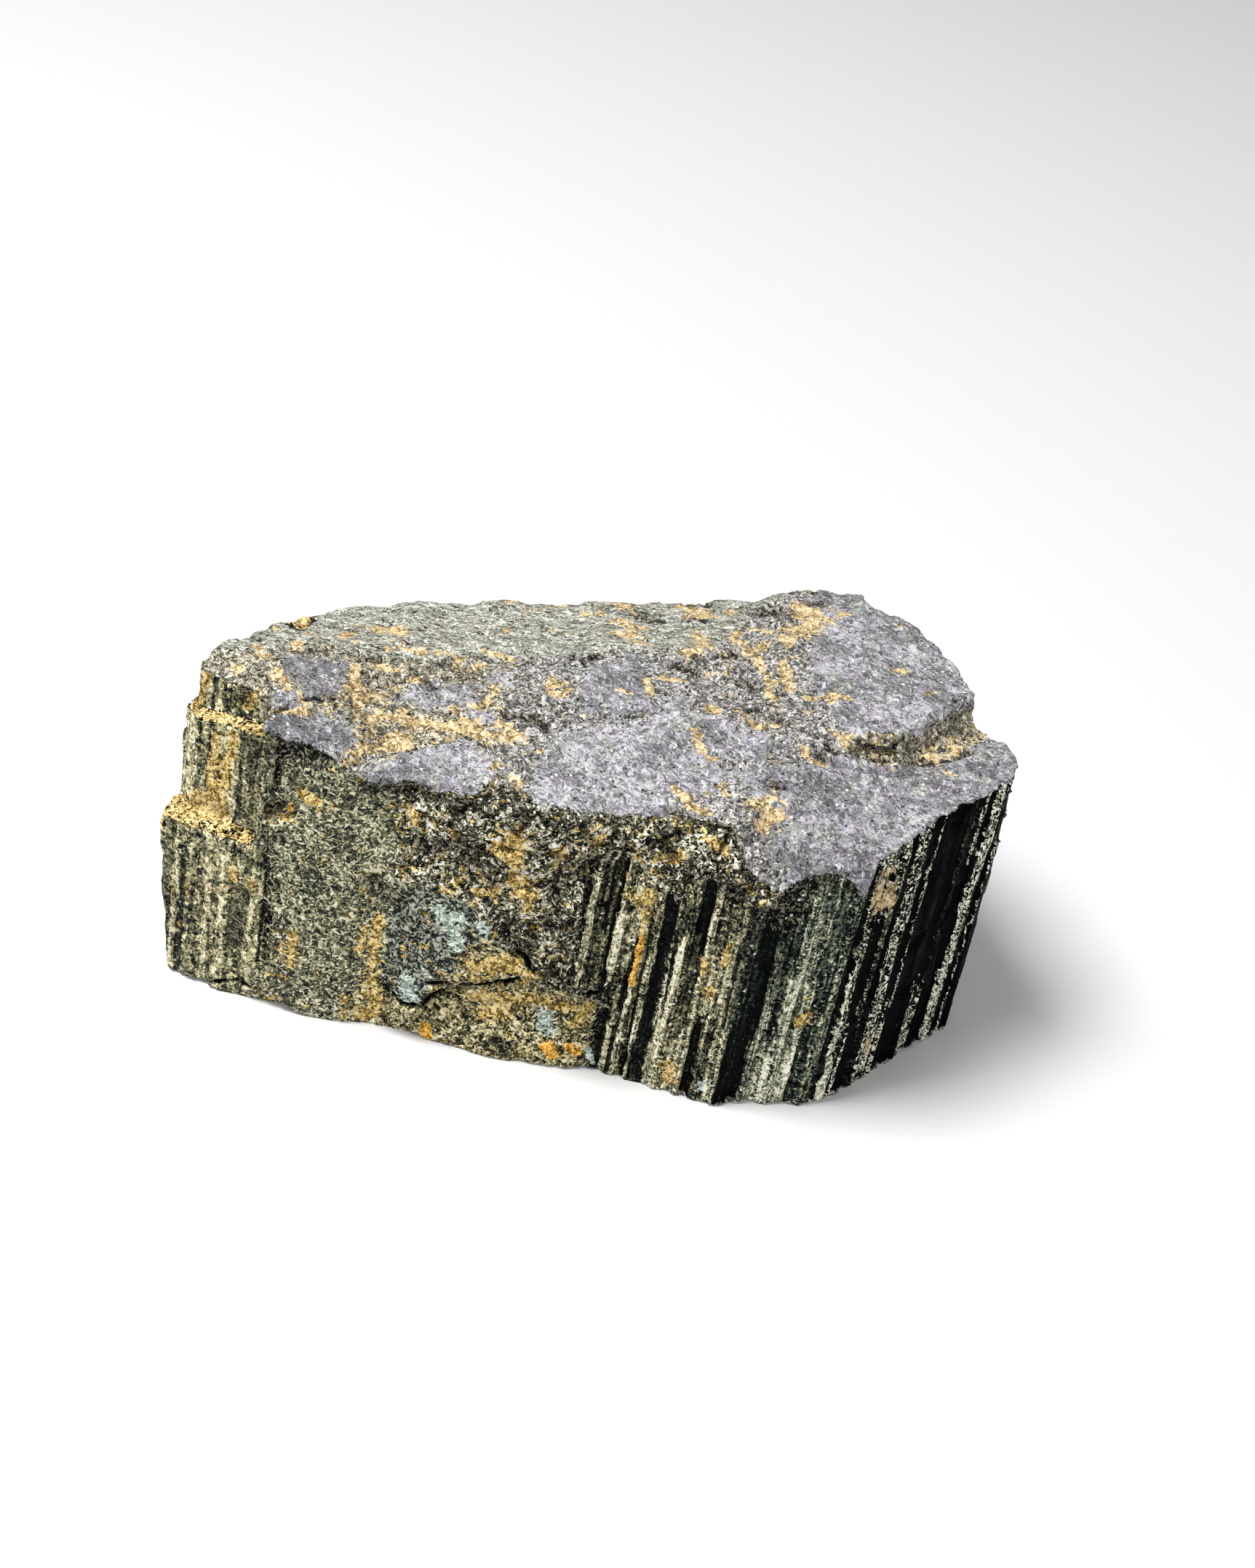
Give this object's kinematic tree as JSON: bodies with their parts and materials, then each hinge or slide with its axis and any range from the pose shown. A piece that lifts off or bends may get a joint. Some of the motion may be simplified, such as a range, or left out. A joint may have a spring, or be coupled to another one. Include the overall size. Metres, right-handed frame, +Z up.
{
  "type": "rough tourmaline",
  "caption": "Rough chunk of black tourmaline with upright ribbed sides, a stepped grey fracture on top, ochre stains and a flat underside to rest on.",
  "frame": {"origin": "middle of the stone's box, on the surface that it rests on", "axes": "+X along the stone's length towards its wide end, +Z up along the crystal's ribs, the pictured long side faces -Y"},
  "size_m": [0.116, 0.065, 0.0518],
  "materials": {
    "tourmaline": "rough fracture with small glints, satin on the ribbed faces"
  },
  "bodies": {
    "root": {"tourmaline": "tourmaline"}
  },
  "joints": []
}
